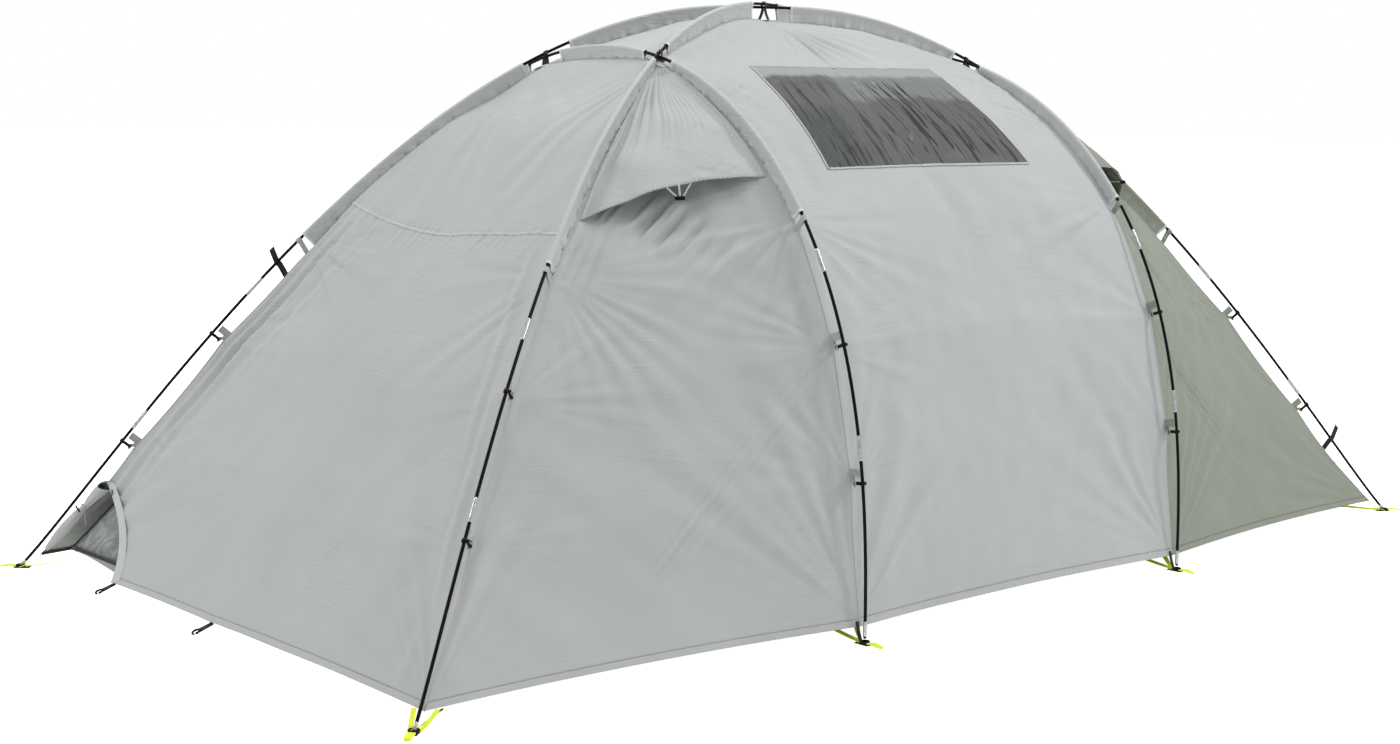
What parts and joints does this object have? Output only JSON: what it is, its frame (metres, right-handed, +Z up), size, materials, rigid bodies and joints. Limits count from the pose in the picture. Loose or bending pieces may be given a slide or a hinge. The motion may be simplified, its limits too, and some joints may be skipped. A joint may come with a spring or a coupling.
{
  "type": "dome tent",
  "caption": "Pitched geodesic dome tent: crossing bent poles, hooked and sleeved fly, roof window, propped vent hoods, foot straps and an inner tent.",
  "frame": {"origin": "on the ground at the middle of the tent", "axes": "+X along the length, away from the door with the open corner; +Y towards the far side; +Z up"},
  "size_m": [4.4082, 2.586, 1.8115],
  "materials": {
    "pole": "black glass-fibre rod, satin gloss, with bright ferrules",
    "fly": "light grey coated polyester, fine weave, soft sheen",
    "fly_sage": "sage grey-green coated polyester",
    "sleeve": "light grey polyester tunnel",
    "window_film": "smoked clear film, creased",
    "hook_plastic": "moulded black",
    "webbing": "black woven webbing",
    "strap": "lime yellow woven webbing, with black ends",
    "inner_mesh": "grey insect mesh and light cloth",
    "floor_cloth": "grey coated ground cloth"
  },
  "bodies": {
    "tent": {"pole_diagonal_1": "pole", "pole_diagonal_2": "pole", "pole_hoop_left": "pole", "pole_hoop_right": "pole", "sleeve_diagonal_1": "sleeve", "sleeve_diagonal_2": "sleeve", "sleeve_hoop_left": "sleeve", "sleeve_hoop_right": "sleeve", "fly_near_left": "fly", "fly_near_right": "fly_sage", "fly_near_middle": "fly", "window_near": "window_film", "fly_far_left": "fly", "fly_far_right": "fly", "fly_far_middle": "fly", "window_far": "window_film", "fly_end_left": "fly", "fly_end_right": "fly", "fly_roof_left": "fly", "fly_roof_right": "fly", "vent_hood_near_left": "fly", "vent_hood_far_left": "fly", "vent_hood_near_right": "fly_sage", "vent_hood_far_right": "fly", "anchor_near_left_corner": "strap", "anchor_near_left_side": "strap", "anchor_near_right_corner": "strap", "anchor_near_right_side": "strap", "anchor_far_left_corner": "strap", "anchor_far_left_side": "strap", "anchor_far_right_corner": "strap", "anchor_far_right_side": "strap", "door_roll": "fly", "inner_floor": "floor_cloth", "inner_tent": "inner_mesh"},
    "vent_prop_near_left": {"vent_prop_near_left": "hook_plastic"},
    "vent_prop_far_left": {"vent_prop_far_left": "hook_plastic"},
    "vent_prop_near_right": {"vent_prop_near_right": "hook_plastic"},
    "vent_prop_far_right": {"vent_prop_far_right": "hook_plastic"},
    "hook_near_left_corner_1": {"hook_near_left_corner_1": "hook_plastic"},
    "hook_near_left_corner_2": {"hook_near_left_corner_2": "hook_plastic"},
    "hook_near_left_side_1": {"hook_near_left_side_1": "hook_plastic"},
    "hook_near_left_side_2": {"hook_near_left_side_2": "hook_plastic"},
    "hook_near_right_corner_1": {"hook_near_right_corner_1": "hook_plastic"},
    "hook_near_right_corner_2": {"hook_near_right_corner_2": "hook_plastic"},
    "hook_near_right_side_1": {"hook_near_right_side_1": "hook_plastic"},
    "hook_near_right_side_2": {"hook_near_right_side_2": "hook_plastic"},
    "hook_far_left_corner_1": {"hook_far_left_corner_1": "hook_plastic"},
    "hook_far_left_corner_2": {"hook_far_left_corner_2": "hook_plastic"},
    "hook_far_left_side_1": {"hook_far_left_side_1": "hook_plastic"},
    "hook_far_left_side_2": {"hook_far_left_side_2": "hook_plastic"},
    "hook_far_right_corner_1": {"hook_far_right_corner_1": "hook_plastic"},
    "hook_far_right_corner_2": {"hook_far_right_corner_2": "hook_plastic"},
    "hook_far_right_side_1": {"hook_far_right_side_1": "hook_plastic"},
    "hook_far_right_side_2": {"hook_far_right_side_2": "hook_plastic"},
    "door_toggle": {"door_toggle": "hook_plastic"},
    "door_zip_slider": {"door_zip_slider": "hook_plastic"},
    "hem_peg_loop_1": {"hem_peg_loop_1": "webbing"},
    "hem_peg_loop_2": {"hem_peg_loop_2": "webbing"}
  },
  "joints": [
    {"name": "vent_prop_near_left_fold", "type": "hinge", "parent": "tent", "child": "vent_prop_near_left", "pos_m": [-0.95663, -0.68229, 1.22693], "axis": [0.8186, -0.5738, 0.0254], "range_deg": [0, 30]},
    {"name": "vent_prop_far_left_fold", "type": "hinge", "parent": "tent", "child": "vent_prop_far_left", "pos_m": [-0.95663, 0.68229, 1.22693], "axis": [-0.8186, -0.5738, -0.0254], "range_deg": [0, 30]},
    {"name": "vent_prop_near_right_fold", "type": "hinge", "parent": "tent", "child": "vent_prop_near_right", "pos_m": [0.95663, -0.68229, 1.22693], "axis": [0.8186, 0.5738, -0.0254], "range_deg": [0, 30]},
    {"name": "vent_prop_far_right_fold", "type": "hinge", "parent": "tent", "child": "vent_prop_far_right", "pos_m": [0.95663, 0.68229, 1.22693], "axis": [-0.8186, 0.5738, 0.0254], "range_deg": [0, 30]},
    {"name": "hook_near_left_corner_1_swivel", "type": "hinge", "parent": "tent", "child": "hook_near_left_corner_1", "pos_m": [-1.87226, -0.938, 0.40247], "axis": [0.5269, 0.3368, 0.7803], "range_deg": [-25, 25]},
    {"name": "hook_near_left_corner_2_swivel", "type": "hinge", "parent": "tent", "child": "hook_near_left_corner_2", "pos_m": [-1.6322, -0.78727, 0.74287], "axis": [0.5609, 0.3446, 0.7527], "range_deg": [-25, 25]},
    {"name": "hook_near_left_side_1_swivel", "type": "hinge", "parent": "tent", "child": "hook_near_left_side_1", "pos_m": [-0.71995, -1.2044, 0.44233], "axis": [0.0005, 0.119, 0.9929], "range_deg": [-25, 25]},
    {"name": "hook_near_left_side_2_swivel", "type": "hinge", "parent": "tent", "child": "hook_near_left_side_2", "pos_m": [-0.71903, -1.12124, 0.8216], "axis": [0.0054, 0.3203, 0.9473], "range_deg": [-25, 25]},
    {"name": "hook_near_right_corner_1_swivel", "type": "hinge", "parent": "tent", "child": "hook_near_right_corner_1", "pos_m": [1.87226, -0.938, 0.40247], "axis": [0.5269, -0.3368, -0.7803], "range_deg": [-25, 25]},
    {"name": "hook_near_right_corner_2_swivel", "type": "hinge", "parent": "tent", "child": "hook_near_right_corner_2", "pos_m": [1.6322, -0.78727, 0.74287], "axis": [0.5609, -0.3446, -0.7527], "range_deg": [-25, 25]},
    {"name": "hook_near_right_side_1_swivel", "type": "hinge", "parent": "tent", "child": "hook_near_right_side_1", "pos_m": [0.71995, -1.2044, 0.44233], "axis": [-0.0005, 0.119, 0.9929], "range_deg": [-25, 25]},
    {"name": "hook_near_right_side_2_swivel", "type": "hinge", "parent": "tent", "child": "hook_near_right_side_2", "pos_m": [0.71903, -1.12124, 0.8216], "axis": [-0.0054, 0.3203, 0.9473], "range_deg": [-25, 25]},
    {"name": "hook_far_left_corner_1_swivel", "type": "hinge", "parent": "tent", "child": "hook_far_left_corner_1", "pos_m": [-1.87226, 0.938, 0.40247], "axis": [0.5269, -0.3368, 0.7803], "range_deg": [-25, 25]},
    {"name": "hook_far_left_corner_2_swivel", "type": "hinge", "parent": "tent", "child": "hook_far_left_corner_2", "pos_m": [-1.6322, 0.78727, 0.74287], "axis": [0.5609, -0.3446, 0.7527], "range_deg": [-25, 25]},
    {"name": "hook_far_left_side_1_swivel", "type": "hinge", "parent": "tent", "child": "hook_far_left_side_1", "pos_m": [-0.71995, 1.2044, 0.44233], "axis": [-0.0005, 0.119, -0.9929], "range_deg": [-25, 25]},
    {"name": "hook_far_left_side_2_swivel", "type": "hinge", "parent": "tent", "child": "hook_far_left_side_2", "pos_m": [-0.71903, 1.12124, 0.8216], "axis": [-0.0054, 0.3203, -0.9473], "range_deg": [-25, 25]},
    {"name": "hook_far_right_corner_1_swivel", "type": "hinge", "parent": "tent", "child": "hook_far_right_corner_1", "pos_m": [1.87226, 0.938, 0.40247], "axis": [0.5269, 0.3368, -0.7803], "range_deg": [-25, 25]},
    {"name": "hook_far_right_corner_2_swivel", "type": "hinge", "parent": "tent", "child": "hook_far_right_corner_2", "pos_m": [1.6322, 0.78727, 0.74287], "axis": [0.5609, 0.3446, -0.7527], "range_deg": [-25, 25]},
    {"name": "hook_far_right_side_1_swivel", "type": "hinge", "parent": "tent", "child": "hook_far_right_side_1", "pos_m": [0.71995, 1.2044, 0.44233], "axis": [0.0005, 0.119, -0.9929], "range_deg": [-25, 25]},
    {"name": "hook_far_right_side_2_swivel", "type": "hinge", "parent": "tent", "child": "hook_far_right_side_2", "pos_m": [0.71903, 1.12124, 0.8216], "axis": [0.0054, 0.3203, -0.9473], "range_deg": [-25, 25]},
    {"name": "door_toggle_swivel", "type": "hinge", "parent": "tent", "child": "door_toggle", "pos_m": [-2.00259, 0.98831, 0.18925], "axis": [-0.8269, -0.2633, 0.4968], "range_deg": [-60, 60]},
    {"name": "door_zip_slide", "type": "slide", "parent": "tent", "child": "door_zip_slider", "axis": [-0.395, -0.7537, -0.5253], "range_m": [0, 0.24]},
    {"name": "hem_peg_loop_1_hinge", "type": "hinge", "parent": "tent", "child": "hem_peg_loop_1", "pos_m": [-2.08509, 0.6, 0.033], "axis": [0, 1, 0], "range_deg": [0, 75]},
    {"name": "hem_peg_loop_2_hinge", "type": "hinge", "parent": "tent", "child": "hem_peg_loop_2", "pos_m": [-2.08509, 0, 0.033], "axis": [0, 1, 0], "range_deg": [0, 75]}
  ]
}
